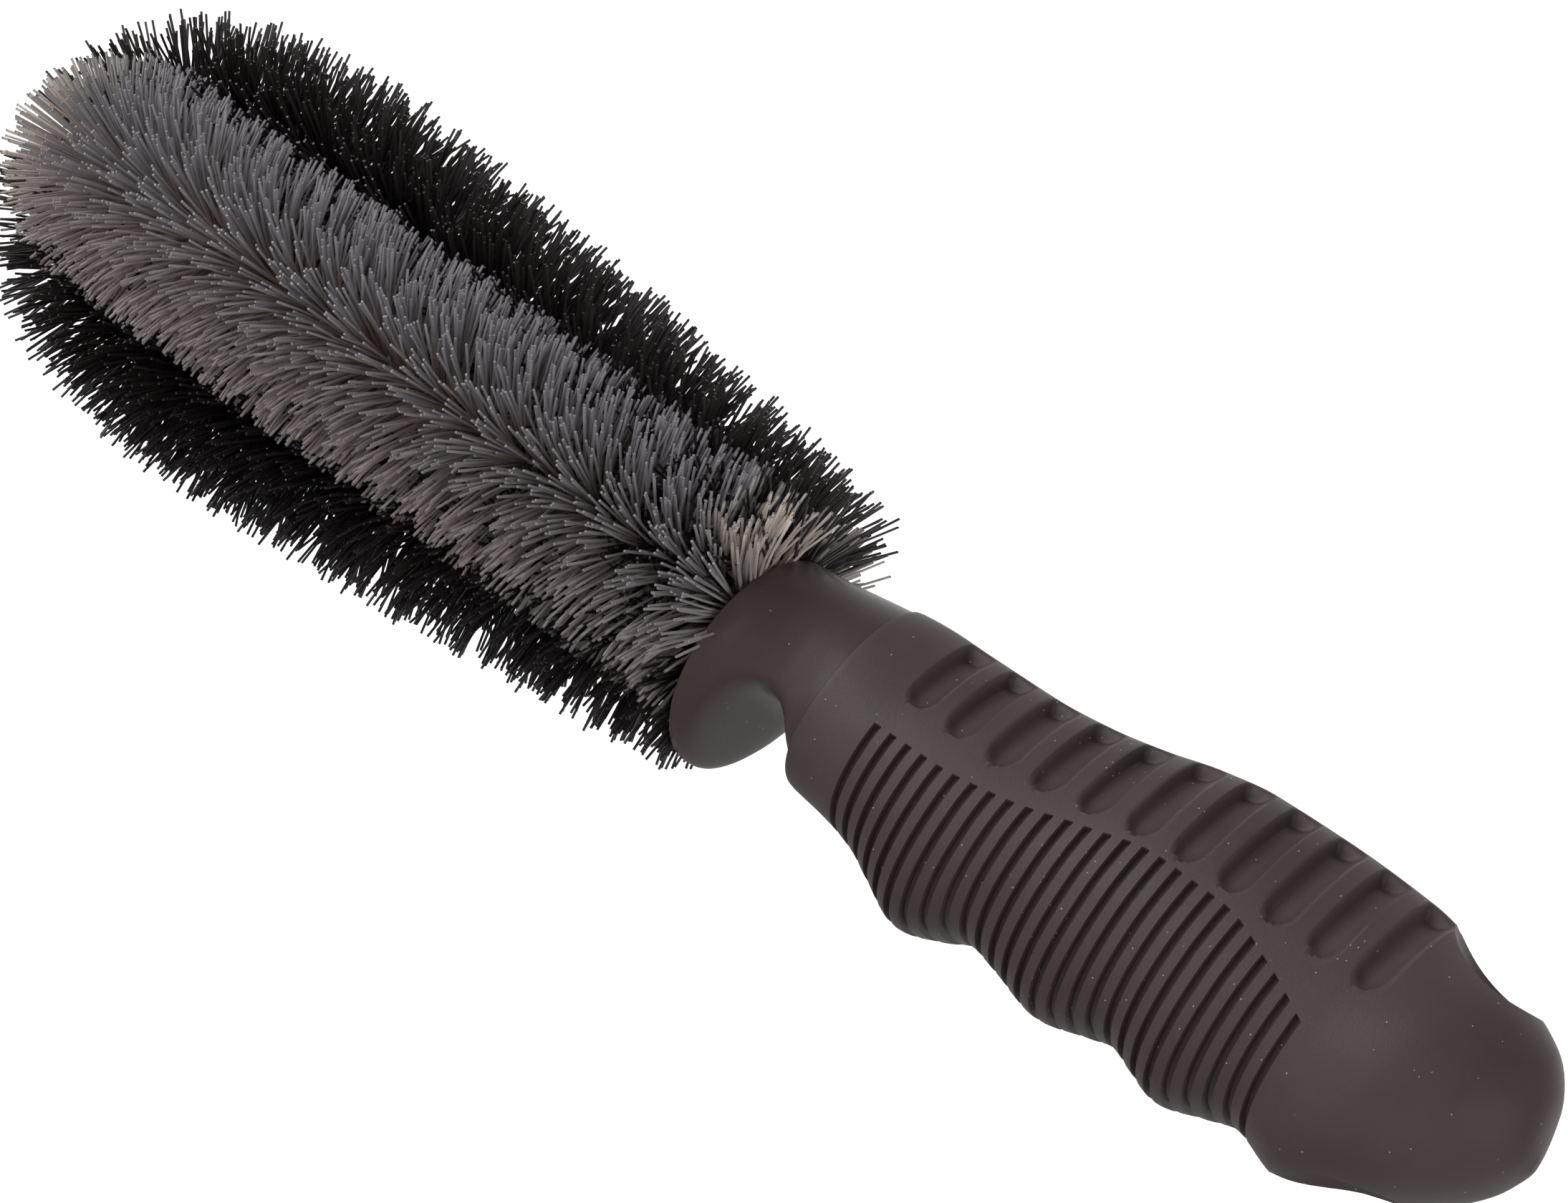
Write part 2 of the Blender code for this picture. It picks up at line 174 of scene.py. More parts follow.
# One leg of a wire loop, from its end in the handle to the loop's apex, as (x, distance from the axis).
LEG = [
    (-44, 3.9), (-32, 3.9), (-20, 3.95), (-10, 4.7), (0, 6.0), (30, 10.2), (60, 14.0), (90, 17.2),
    (115, 19.2), (134, 18.4), (148.6, 14.8), (156.5, 8.8), (159.5, 0),
]
BLACK_APEX_X = 169.1
GREY_APEX_X = 164.3
BORE_RADIUS = 2.5
BORE_STOPS = (-45, -32, -20, -14, -8, -3, 2)

# Mesh density of the handle and of the wires, and where the rounding of the butt starts.
LIP_RINGS = 5
FRONT_X = -21.6
FRONT_RINGS = 26
BUTT_X = -142
BUTT_RINGS = 48
BUTT_ROUNDING = 13.5
BUTT_END_RINGS = 20
RIM_RINGS = 7
COLLAR_RINGS = 62
CORE_RINGS = 24
OUTLINE_STEPS = 120
RIDGE_POINTS = 7
UPPER_POINTS = 38
WALL_POINTS = 4
LOWER_POINTS = 20
COLLAR_POINTS = 60
CORE_INNER_STEPS = 28
HOLE_STEPS = 72
HOLE_RINGS = 60
BORE_SIDES = 20
WIRE_RINGS = 260
WIRE_SIDES = 10

# The bristle. Its two pieces on each leg meet at this share of the leg, which starts just off the collar.
PIECES_MEET = 0.46
BRISTLE_START_X = 0.6
BRISTLE_PATH_POINTS = 400
FILAMENT_SIDES = 5
FILAMENT_SEGMENTS = 3
# Half the angle of each fan of filaments, in radians.
FAN = 1.15
# Lean of the filaments along the wire: at the collar, over this run of wire in metres, and at random.
ROOT_LEAN = 0.13
ROOT_RUN = 0.012
RANDOM_LEAN = 0.09
# Most that a filament's end bends aside, in metres, and how rare a strong bend is.
BEND = 0.0026
BEND_POWER = 3.0
# Most that a filament falls short, as a share of its length, and how rare that is.
SHORTFALL = 0.28
SHORTFALL_POWER = 7.0
# How much of the curl at the collar each filament takes.
CURL_SHARES = (0.3, 1.2)
# The shares of the outer piece's run over which its filaments reach their longest.
STRETCH_SHARES = (0.6, 0.95)
# No filament ends nearer to the collar than this: ahead of its face, or outside its edge.
COLLAR_AHEAD = 0.2
COLLAR_OUTSIDE = 1.5

# Where the filaments get painted backlight, pale cream on the grey ones, by x at the tip and at the collar
# and by z at the collar, and where any filament gets painted light lower down, warmer on the grey and darker
# on the black, by z: each as (where it starts, where it is full).
PAINTED_BACKLIGHT_TIP_X = (158, 180)
PAINTED_BACKLIGHT_COLLAR_X = (11, 3)
PAINTED_BACKLIGHT_COLLAR_Z = (4, 10)
PAINTED_LIGHT_LOW_Z = (6, -20)
PAINTED_LIGHT_LOW_MOST = 0.5
# Past this share of its length a filament shows its cut end, whose colour is painted light: it sets how
# bright the end faces' highlights read.
CUT_END = 0.992

# The camera, in the frame's own metres, and its three axes.
CAMERA_PLACE = (-0.3093, 0.5483, 0.0108)
CAMERA_RIGHT = (-0.72248, -0.39231, 0.56931)
CAMERA_UP = (0.50564, 0.26177, 0.82207)
CAMERA_BACK = (-0.47154, 0.8818, 0.00924)
CAMERA_LENS = 85.52
CAMERA_SENSOR = 36
FLOOR_CLEARANCE = 0.0006
FLOOR_REACH = 4000
ROOM_LIGHT = 0.24
BACKDROP_LIGHT = 1.25
BACKDROP_SIDE = (0.47, -0.87, 0.15)
# The soft lights, as (name, place, the point it faces, watts), in metres.
LIGHT_SIZE = 0.8
LIGHTS = (
    ("soft_head_side", (0.75, 0.85, 0.3), (0.02, 0, 0), 8),
    ("soft_butt_side", (-0.9, 0.4, -0.05), (-0.13, 0, 0), 3.5),
)


# Curves and sections -----------------------------------------------------------------------------


def cubic(knots, values, slopes, at):
    """Reads the cubic that runs through the values with these slopes."""
    i = np.clip(np.searchsorted(knots, at) - 1, 0, len(knots) - 2)
    step = knots[i + 1] - knots[i]
    t = (at - knots[i]) / step
    return (
        (1 + 2 * t) * (1 - t) ** 2 * values[i]
        + t * (1 - t) ** 2 * step * slopes[i]
        + t * t * (3 - 2 * t) * values[i + 1]
        + t * t * (t - 1) * step * slopes[i + 1]
    )


def smooth(table, x):
    """Reads a table of (x, value) with a cubic through its points that never overshoots them."""
    xs, ys = (np.array(column, float) for column in zip(*sorted(table)))
    slopes = np.diff(ys) / np.diff(xs)
    tangents = np.zeros_like(ys)
    tangents[0], tangents[-1] = slopes[0], slopes[-1]
    same_way = slopes[:-1] * slopes[1:] > 0
    both = np.where(same_way, slopes[:-1] * slopes[1:], 0.0)
    total = np.where(same_way, slopes[:-1] + slopes[1:], 1.0)
    tangents[1:-1] = 2.0 * both / total
    return cubic(xs, ys, tangents, np.clip(x, xs[0], xs[-1]))


def ease(t):
    """0 below 0, 1 above 1 and a smooth step between."""
    t = np.clip(t, 0.0, 1.0)
    return t * t * (3 - 2 * t)


def section(x, y_over_w, underside, top_side, grow=0.0):
    """Height of the handle's surface at a fraction of its half width, above or below its widest line."""
    middle = smooth(WIDEST_Z, x)
    power = smooth(POWER_TOP if top_side else POWER_BOTTOM, x)
    edge = (smooth(SPINE, x) + grow) if top_side else (smooth(underside, x) - grow)
    return middle + (edge - middle) * (1 - y_over_w**power) ** (1 / power)


def outline(x, underside, grow=0.0):
    """One side's outline from the spine round to the underside, as (y, z), and the length run at each."""
    width = smooth(HALF_WIDTH, x) + grow
    top = np.sin(np.linspace(0, math.pi / 2, OUTLINE_STEPS))
    path = [(width * f, section(x, f, underside, True, grow)) for f in top]
    path += [(width * f, section(x, f, underside, False, grow)) for f in top[::-1][1:]]
    path = np.array(path)
    return path, np.concatenate([[0], np.cumsum(np.hypot(*np.diff(path, axis=0).T))])


def points_at(path, run, marks):
    """The (y, z) points of an outline at these lengths along it."""
    return np.stack([np.interp(marks, run, path[:, 0]), np.interp(marks, run, path[:, 1])], axis=1)


def full_ring(x, half):
    """A closed ring of 3-D points from one side's (y, z) points, mirrored across y = 0."""
    near = [(x, y, z) for y, z in half]
    far = [(x, -y, z) for y, z in half[-2:0:-1]]
    return near + far


def pushed_in(half, depths):
    """One side's points moved inwards, square to the outline."""
    along = np.gradient(half, axis=0)
    along[0], along[-1] = (1, 0), (-1, 0)
    inward = np.stack([along[:, 1], -along[:, 0]], axis=1)
    inward /= np.linalg.norm(inward, axis=1)[:, None]
    return half + inward * depths[:, None]


def loop_leg(grey, count, first_x=None):
    """Evenly spaced (x, w) points on a leg of the grey or the black loop, from first_x to its apex, with
    the unit tangent and the length run at each."""
    apex_x = GREY_APEX_X if grey else BLACK_APEX_X
    table = np.array(LEG, float)
    table[:, 0] = np.where(table[:, 0] > 0, table[:, 0] * apex_x / LEG[-1][0], table[:, 0])
    whole = np.concatenate([table, (table * (1, -1))[-2::-1]])
    knots = np.concatenate([[0], np.cumsum(np.hypot(*np.diff(whole, axis=0).T))])
    fine = np.linspace(0, knots[-1] / 2, 1200)
    columns = [cubic(knots, column, np.gradient(column, knots), fine) for column in whole.T]
    path = np.stack(columns, axis=1)
    if first_x is not None:
        path = path[path[:, 0] >= first_x]
    run = np.concatenate([[0], np.cumsum(np.hypot(*np.diff(path, axis=0).T))])
    marks = np.linspace(0, run[-1], count)
    even = np.stack([np.interp(marks, run, path[:, column]) for column in (0, 1)], axis=1)
    tangent = np.gradient(even, axis=0)
    tangent[-1] = (0, -1)
    return even, tangent / np.linalg.norm(tangent, axis=1)[:, None], marks


def place(x, w, b, grey):
    """A point of a loop: w is measured in the loop's plane and b square to it."""
    return (x, w, b) if grey else (x, b, w)


# Meshes ------------------------------------------------------------------------------------------


def new_mesh_object(name, points, faces, edges=()):
    """An object from points in millimetres from the collar's face, linked to the scene at the origin."""
    mesh = bpy.data.meshes.new(name)
    mesh.from_pydata([((x - ORIGIN_X) * MM, y * MM, z * MM) for x, y, z in points], list(edges), faces)
    if faces:
        bm = bmesh.new()
        bm.from_mesh(mesh)
        bmesh.ops.recalc_face_normals(bm, faces=bm.faces)
        bm.to_mesh(mesh)
        bm.free()
    obj = bpy.data.objects.new(name, mesh)
    bpy.context.scene.collection.objects.link(obj)
    return obj


def solid_from_rings(rings):
    """Points and faces of the closed solid that runs through these rings."""
    size = len(rings[0])
    points = [point for ring in rings for point in ring]
    faces = []
    for low in range(0, (len(rings) - 1) * size, size):
        for k in range(size):
            after = (k + 1) % size
            faces.append((low + k, low + after, low + size + after, low + size + k))
    faces.append(tuple(reversed(range(size))))
    faces.append(tuple(range(len(points) - size, len(points))))
    return points, faces


def cut(obj, name, points, faces):
    """Adds an exact Boolean cut, and returns its cutter."""
    cutter = new_mesh_object(name, points, faces)
    cutter.hide_render = True
    modifier = obj.modifiers.new(name, "BOOLEAN")
    modifier.operation = "DIFFERENCE"
    modifier.solver = "EXACT"
    modifier.object = cutter
    return cutter


def apply_modifiers(obj):
    """Turns the evaluated object into a plain mesh and takes its modifiers off."""
    bpy.context.view_layer.update()
    graph = bpy.context.evaluated_depsgraph_get()
    mesh = bpy.data.meshes.new_from_object(obj.evaluated_get(graph), depsgraph=graph)
    before = obj.data
    obj.modifiers.clear()
    obj.data = mesh
    bpy.data.meshes.remove(before)
    mesh.name = obj.name


def finish_piece(obj, material, slot_name, *nodes):
    """Gives a finished piece its material, hangs it on the body and hides the imported parts of the nodes it
    stands for.
    """
    if material is not None:
        obj.data.materials.clear()
        obj.data.materials.append(material)
    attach(obj, BODY)
    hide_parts(*nodes)


# The handle --------------------------------------------------------------------------------------


def groove_depth(x, run, at_split):
    """Depth of the wide grooves at each point of a ring, from its length run past the spine."""
    into = (GROOVE_FIRST_X - x) % GROOVE_PITCH
    index = (GROOVE_FIRST_X - x) // GROOVE_PITCH
    if not 0 <= index < GROOVE_COUNT or into > GROOVE_WIDTH:
        return np.zeros(len(run))
    across = ease(into / GROOVE_WALL) * ease((GROOVE_WIDTH - into) / GROOVE_WALL)
    return GROOVE_DEPTH * across * ease((run - at_split) / GROOVE_WALL)


def slot_depth(x, run, end_run):
    """Depth of the thumb slots: a scoop on either side of the spine's ridge, deepest beside it, with a
    steep wall towards the head, a floor that rises to the next slot and a round outer end."""
    into = (SLOT_FIRST_X - x) % SLOT_PITCH
    index = (SLOT_FIRST_X - x) // SLOT_PITCH
    if not 0 <= index < SLOT_COUNT or into > SLOT_WIDTH:
        return np.zeros(len(run))
    past = np.clip((run - (end_run - SLOT_END)) / SLOT_END, 0, 0.999)
    narrowing = np.sqrt(1 - past**2)
    middle = SLOT_WIDTH / 2
    into = middle + (into - middle) / narrowing
    wall = ease(into / SLOT_WALL)
    floor = 1 - np.clip((into - SLOT_WALL) / (SLOT_WIDTH - SLOT_WALL), 0, 1) ** SLOT_FLOOR_POWER
    beside_ridge = ease((run - RIDGE_HALF) / RIDGE_WALL)
    outwards = 1 - SLOT_OUTWARD_LOSS * np.clip(run / end_run, 0, 1)
    inside = (into > 0) & (into < SLOT_WIDTH) & (run < end_run)
    depth = SLOT_DEPTH * wall * floor * beside_ridge * outwards * narrowing**SLOT_END_POWER
    return np.where(inside, depth, 0.0)


def grip_ring(x, grow):
    """One ring of the grip, with its points bunched where the grooves start."""
    path, run = outline(x, GRIP_UNDERSIDE, grow)
    split_z = smooth(GROOVE_TOP, x)
    at_split = np.clip(np.interp(-split_z, -path[:, 1], run), 0.3 * run[-1], 0.7 * run[-1])
    wall_end = at_split + GROOVE_WALL
    ridge_end = RIDGE_HALF + RIDGE_WALL
    marks = np.concatenate([
        np.linspace(0, RIDGE_HALF, RIDGE_POINTS, endpoint=False),
        np.linspace(RIDGE_HALF, ridge_end, RIDGE_POINTS, endpoint=False),
        np.linspace(ridge_end, at_split, UPPER_POINTS, endpoint=False),
        np.linspace(at_split, wall_end, WALL_POINTS, endpoint=False),
        np.linspace(wall_end, run[-1], LOWER_POINTS),
    ])
    half = points_at(path, run, marks)
    reach_y = SLOT_REACH * smooth(HALF_WIDTH, x)
    upper = path[: len(path) // 2]
    end_run = np.interp(reach_y, upper[:, 0], run[: len(upper)])
    depths = groove_depth(x, marks, at_split) + slot_depth(x, marks, end_run)
    return full_ring(x, pushed_in(half, depths))


def grip_rings():
    """The grip's outer rings from its lip to the end of the butt."""
    rings = []
    for step in range(LIP_RINGS):
        turn = math.pi / 2 * step / (LIP_RINGS - 1)
        x = GRIP_START_X - LIP_ROUNDING * (1 - math.cos(turn))
        rings.append(grip_ring(x, GRIP_LIP - LIP_ROUNDING * (1 - math.sin(turn))))
    stations = list(np.linspace(FRONT_X, GROOVE_FIRST_X + 0.4, FRONT_RINGS))
    for k in range(GROOVE_COUNT):
        front = GROOVE_FIRST_X - k * GROOVE_PITCH
        stations += [front - offset for offset in GROOVE_STATIONS]
    last = stations[-1]
    stations += list(np.linspace(last - 0.4, BUTT_X, BUTT_RINGS))
    turns = np.linspace(0, math.pi / 2, BUTT_END_RINGS + 2)[1:-1]
    stations += [BUTT_X - BUTT_ROUNDING * math.sin(turn) for turn in turns]
    for x in stations:
        rings.append(grip_ring(x, GRIP_LIP * float(ease((x - LIP_SUNK_X) / LIP_FADE)) + GRIP_SUNK))
    return rings


def core_ring(x, size, grow=0.0):
    """An oval ring of the hard core, with as many points as the ring outside it."""
    half_width, middle, half_height = (
        smooth([(row[0], row[column]) for row in CORE], x) + extra
        for column, extra in ((1, grow), (2, 0.0), (3, grow))
    )
    angles = np.linspace(0, 2 * math.pi, size, endpoint=False)
    return [(x, half_width * math.sin(a), middle + half_height * math.cos(a)) for a in angles]


def hole_cutter():
    """The hanging hole with its dished mouths, as one turned solid."""
    angles = np.linspace(0, 2 * math.pi, HOLE_STEPS, endpoint=False)
    heights = np.linspace(HOLE_WALL[0][0], HOLE_WALL[-1][0], HOLE_RINGS)
    return solid_from_rings([
        [(HOLE_X + r * math.cos(a), r * math.sin(a), z) for a in angles]
        for z, r in zip(heights, smooth(HOLE_WALL, heights))
    ])


def bore_cutter(grey, sign):
    """The bore that one leg of a wire loop is moulded into."""
    leg, _, _ = loop_leg(grey, 300)
    near_handle = leg[:80]
    at_w = np.interp(BORE_STOPS, near_handle[:, 0], near_handle[:, 1])
    angles = np.linspace(0, 2 * math.pi, BORE_SIDES, endpoint=False)
    return solid_from_rings([
        [place(x, sign * w + BORE_RADIUS * math.cos(a), BORE_RADIUS * math.sin(a), grey) for a in angles]
        for x, w in zip(BORE_STOPS, at_w)
    ])


def build_grip(material):
    """The soft grip, hollow round the core, with the hanging hole cut through its butt."""
    outer = grip_rings()
    size = len(outer[0])
    inner_x = np.linspace(GRIP_START_X, CORE_END_X - GAP, CORE_INNER_STEPS)
    inner = [core_ring(x, size, GAP) for x in inner_x]
    grip = new_mesh_object("soft_grip_detail", *solid_from_rings(inner[::-1] + outer))
    cutter = cut(grip, "hanging_hole_cutter", *hole_cutter())
    apply_modifiers(grip)
    bpy.data.objects.remove(cutter, do_unlink=True)
    grip.data.shade_smooth()
    grip.data.set_sharp_from_angle(angle=math.radians(48))
    finish_piece(grip, material, "soft_rubber", "soft_grip")


def build_core(material):
    """The hard moulding: the collar, its finger hollow and neck, and the core inside the grip."""
    rings = []
    for step in range(RIM_RINGS):
        turn = math.pi / 2 * step / (RIM_RINGS - 1)
        rings.append((-RIM * (1 - math.cos(turn)) * RIM_FLATNESS, -RIM * (1 - math.sin(turn))))
    rings += [(x, 0.0) for x in np.linspace(BEHIND_RIM_X, NECK_END, COLLAR_RINGS)]
    rings = [
        full_ring(x, points_at(path, run, np.linspace(0, run[-1], COLLAR_POINTS)))
        for x, (path, run) in ((x, outline(x, COLLAR_UNDERSIDE, grow)) for x, grow in rings)
    ]
    size = len(rings[0])
    rings += [core_ring(x, size) for x in np.linspace(NECK_END, CORE_END_X, CORE_RINGS)]
    core = new_mesh_object("handle_core_detail", *solid_from_rings(rings))
    cutters = [
        cut(core, f"wire_bore_cutter_{grey}_{sign}", *bore_cutter(grey, sign))
        for grey in (False, True)
        for sign in (1, -1)
    ]
    apply_modifiers(core)
    for cutter in cutters:
        bpy.data.objects.remove(cutter, do_unlink=True)
    core.data.shade_smooth()
    core.data.set_sharp_from_angle(angle=math.radians(45))
    for face in core.data.polygons:
        face.use_smooth = face.normal.x < 0.99
    finish_piece(core, material, "hard_plastic", "handle_core")


# The wires ---------------------------------------------------------------------------------------


def build_strand(name, node, grey, phase, sizes, material):
    """One of the two wires of a loop, wound round the loop's line from end to end."""
    leg, tangent, marks = loop_leg(grey, WIRE_RINGS)
    line = np.concatenate([leg, (leg * (1, -1))[-2::-1]])
    along = np.concatenate([tangent, (tangent * (-1, 1))[-2::-1]])
    run = np.concatenate([marks, 2 * marks[-1] - marks[-2::-1]])
    across = np.stack([-along[:, 1], along[:, 0]], axis=1)
    radius, pitch = sizes.wire_radius / MM, sizes.wire_pitch / MM
    spokes = np.linspace(0, 2 * math.pi, WIRE_SIDES, endpoint=False)
    rings = []
    for (x, w), (nx, nw), s in zip(line, across, run):
        turn = 2 * math.pi * s / pitch + phase
        out = radius * (math.cos(turn) + np.cos(spokes))
        side = radius * (math.sin(turn) + np.sin(spokes))
        rings.append([place(x + o * nx, w + o * nw, b, grey) for o, b in zip(out, side)])
    strand = new_mesh_object(name, *solid_from_rings(rings))
    strand.data.shade_smooth()
    strand.data.set_sharp_from_angle(angle=math.radians(60))
    finish_piece(strand, material, "galvanised_wire", node)


# The bristle -------------------------------------------------------------------------------------


class Tree:
    """Adds nodes to a node tree and joins them, so that a tree reads as a list of steps."""

    def __init__(self, tree):
        self.tree = tree

    def add(self, kind, inputs=(), **settings):
        """A node of this kind. inputs maps a socket's name or number to a value or to another socket."""
        node = self.tree.nodes.new(kind)
        for name, value in settings.items():
            setattr(node, name, value)
        for key, value in dict(inputs).items():
            socket = node.inputs[key]
            if isinstance(value, bpy.types.NodeSocket):
                self.tree.links.new(value, socket)
            else:
                socket.default_value = value
        return node

    def math(self, operation, first, second=0.0):
        return self.add("ShaderNodeMath", {0: first, 1: second}, operation=operation).outputs[0]

    def vector(self, operation, first, second=(0, 0, 0)):
        return self.add("ShaderNodeVectorMath", {0: first, 1: second}, operation=operation).outputs[0]

    def mix(self, factor, first, second):
        """The second colour laid over the first by this factor."""
        return self.add("ShaderNodeMix", {"Factor": factor, 6: first, 7: second}, data_type="RGBA").outputs[2]

    def scaled(self, vector, factor):
        node = self.add("ShaderNodeVectorMath", {0: vector, "Scale": factor}, operation="SCALE")
        return node.outputs[0]


ROW_INPUTS = (
    ("Path", "NodeSocketGeometry"),
    ("Count", "NodeSocketInt"),
    ("Loop normal", "NodeSocketVector"),
    ("Length", "NodeSocketFloat"),
    ("Length spread", "NodeSocketFloat"),
    ("Thickness", "NodeSocketFloat"),
    ("Twist pitch", "NodeSocketFloat"),
    ("Run before", "NodeSocketFloat"),
    ("Fan", "NodeSocketFloat"),
    ("Tuft size", "NodeSocketFloat"),
    ("Tuft pull", "NodeSocketFloat"),
    ("Root lean", "NodeSocketFloat"),
    ("Root curl", "NodeSocketFloat"),
    ("Root run", "NodeSocketFloat"),
    ("Bend", "NodeSocketFloat"),
    ("End stretch", "NodeSocketFloat"),
    ("Collar face", "NodeSocketFloat"),
    ("Collar radius", "NodeSocketFloat"),
    ("Collar drop", "NodeSocketFloat"),
    ("Seed", "NodeSocketInt"),
    ("Material", "NodeSocketMaterial"),
)


def bristle_row_tree():
    """Filaments caught in a twisted wire: straight thin prisms that stand out square to the path, turn
    round it with the twist in two fans, and lean together in tufts."""
    tree = bpy.data.node_groups.new("bristle row", "GeometryNodeTree")
    for name, kind in ROW_INPUTS:
        tree.interface.new_socket(name, in_out="INPUT", socket_type=kind)
    tree.interface.new_socket("Filaments", in_out="OUTPUT", socket_type="NodeSocketGeometry")
    t = Tree(tree)
    given = t.add("NodeGroupInput").outputs
    curve = t.add("GeometryNodeMeshToCurve", {0: given["Path"]}).outputs[0]
    points = t.add("GeometryNodeResampleCurve", {"Curve": curve, "Count": given["Count"]}).outputs[0]
    spline = t.add("GeometryNodeSplineParameter").outputs
    run = spline["Length"]
    tangent = t.add("GeometryNodeInputTangent").outputs[0]
    index = t.add("GeometryNodeInputIndex").outputs[0]

    def dice(low, high, offset):
        """A random number for each filament."""
        seed = t.math("ADD", given["Seed"], float(offset))
        inputs = {2: low, 3: high, "ID": index, "Seed": seed}
        return t.add("FunctionNodeRandomValue", inputs, data_type="FLOAT").outputs[1]

    whole_run = t.math("ADD", run, given["Run before"])
    turn = t.math("DIVIDE", t.math("MULTIPLY", whole_run, 2 * math.pi), given["Twist pitch"])
    side = t.math("MULTIPLY", t.math("ROUND", dice(0.0, 1.0, 1)), math.pi)
    fanned = t.math("MULTIPLY", dice(-1.0, 1.0, 2), given["Fan"])
    angle = t.math("ADD", t.math("ADD", turn, side), fanned)
    outward = t.vector("CROSS_PRODUCT", given["Loop normal"], tangent)
    cosine, sine = t.math("COSINE", angle), t.math("SINE", angle)
    spoke = t.vector("ADD", t.scaled(outward, cosine), t.scaled(given["Loop normal"], sine))

    # Filaments close to each other lean the same way, which draws their ends into tufts.
    around = t.scaled(spoke, given["Length"])
    centre = t.add("GeometryNodeInputPosition").outputs[0]
    surface = t.vector("ADD", centre, around)
    in_tufts = t.scaled(surface, t.math("DIVIDE", 1.0, given["Tuft size"]))
    noise = t.add("ShaderNodeTexNoise", {"Vector": in_tufts, "Scale": 1.0, "Detail": 1.5})
    pull = t.vector("SUBTRACT", noise.outputs["Color"], (0.5, 0.5, 0.5))
    pull = t.scaled(pull, given["Tuft pull"])
    near_root = t.add(
        "ShaderNodeMapRange",
        {"Value": run, "From Min": 0.0, "From Max": given["Root run"], "To Min": 1.0, "To Max": 0.0},
        interpolation_type="SMOOTHSTEP",
    ).outputs[0]
    root_lean = t.math("MULTIPLY", given["Root lean"], near_root)
    lean = t.math("ADD", dice(-RANDOM_LEAN, RANDOM_LEAN, 3), root_lean)
    direction = t.vector("ADD", t.vector("ADD", spoke, pull), t.scaled(tangent, lean))
    direction = t.vector("NORMALIZE", direction)

    short = t.math("MULTIPLY", t.math("POWER", dice(0.0, 1.0, 4), SHORTFALL_POWER), SHORTFALL)
    jitter = t.math("MULTIPLY", dice(-1.0, 1.0, 5), given["Length spread"])
    share = t.math("SUBTRACT", t.math("ADD", 1.0, jitter), short)
    start, full = STRETCH_SHARES
    inputs = {"Value": spline["Factor"], "From Min": start, "From Max": full, "To Max": given["End stretch"]}
    near_bend = t.add("ShaderNodeMapRange", inputs, interpolation_type="SMOOTHSTEP").outputs[0]
    share = t.math("ADD", share, near_bend)
    reach = t.math("MULTIPLY", given["Length"], share)

    bend_size = t.math("MULTIPLY", t.math("POWER", dice(0.0, 1.0, 6), BEND_POWER), given["Bend"])
    bend_turn = dice(0.0, 2 * math.pi, 7)
    sideways = t.vector("CROSS_PRODUCT", direction, tangent)
    upwards = t.add("ShaderNodeSeparateXYZ", {0: spoke}).outputs[2]
    upwards = t.math("MAXIMUM", upwards, 0.0)
    curl = t.math("MULTIPLY", t.math("MULTIPLY", given["Root curl"], near_root), dice(*CURL_SHARES, 9))
    curl = t.math("MULTIPLY", curl, upwards)
    along_wire = t.math("SUBTRACT", t.math("MULTIPLY", t.math("COSINE", bend_turn), bend_size), curl)
    bend = t.vector(
        "ADD",
        t.scaled(tangent, along_wire),
        t.scaled(sideways, t.math("MULTIPLY", t.math("SINE", bend_turn), bend_size)),
    )
    for name, value, kind in (("tone", dice(0.0, 1.0, 8), "FLOAT"), ("bend", bend, "FLOAT_VECTOR")):
        inputs = {"Geometry": points, "Name": name, "Value": value}
        points = t.add("GeometryNodeStoreNamedAttribute", inputs, data_type=kind, domain="POINT").outputs[0]

    prism = t.add(
        "GeometryNodeMeshCylinder",
        {
            "Vertices": FILAMENT_SIDES, "Side Segments": FILAMENT_SEGMENTS,
            "Radius": given["Thickness"], "Depth": 1.0,
        },
        fill_type="NGON",
    ).outputs[0]
    prism = t.add("GeometryNodeTransform", {"Geometry": prism, "Translation": (0, 0, 0.5)}).outputs[0]
    height = t.add("ShaderNodeSeparateXYZ", {0: t.add("GeometryNodeInputPosition").outputs[0]}).outputs[2]
    inputs = {"Geometry": prism, "Name": "along", "Value": height}
    prism = t.add("GeometryNodeStoreNamedAttribute", inputs, data_type="FLOAT", domain="POINT").outputs[0]

    aligned = t.add("FunctionNodeAlignRotationToVector", {"Vector": direction}, axis="Z").outputs[0]
    size = t.add("ShaderNodeCombineXYZ", {0: 1.0, 1: 1.0, 2: reach}).outputs[0]
    tip = t.vector("ADD", t.vector("ADD", centre, t.scaled(direction, reach)), bend)
    tip_parts = t.add("ShaderNodeSeparateXYZ", {0: tip}).outputs
    tip_z = t.math("ADD", tip_parts[2], given["Collar drop"])
    off_axis = t.math("SQRT", t.math("ADD", t.math("POWER", tip_parts[1], 2.0), t.math("POWER", tip_z, 2.0)))
    ahead = t.math("GREATER_THAN", tip_parts[0], given["Collar face"])
    clear = t.math("MAXIMUM", ahead, t.math("GREATER_THAN", off_axis, given["Collar radius"]))
    inputs = {"Points": points, "Selection": clear, "Instance": prism, "Rotation": aligned, "Scale": size}
    filaments = t.add("GeometryNodeInstanceOnPoints", inputs).outputs[0]
    filaments = t.add("GeometryNodeRealizeInstances", {0: filaments}).outputs[0]
    bent = t.add("GeometryNodeInputNamedAttribute", {"Name": "bend"}, data_type="FLOAT_VECTOR").outputs[0]
    along = t.add("GeometryNodeInputNamedAttribute", {"Name": "along"}, data_type="FLOAT").outputs[0]
    offset = t.scaled(bent, t.math("MULTIPLY", along, along))
    filaments = t.add("GeometryNodeSetPosition", {"Geometry": filaments, "Offset": offset}).outputs[0]
    filaments = t.add("GeometryNodeRemoveAttribute", {"Geometry": filaments, "Name": "bend"}).outputs[0]
    inputs = {"Geometry": filaments, "Material": given["Material"]}
    painted = t.add("GeometryNodeSetMaterial", inputs).outputs[0]
    t.add("NodeGroupOutput", {0: painted})
    return tree


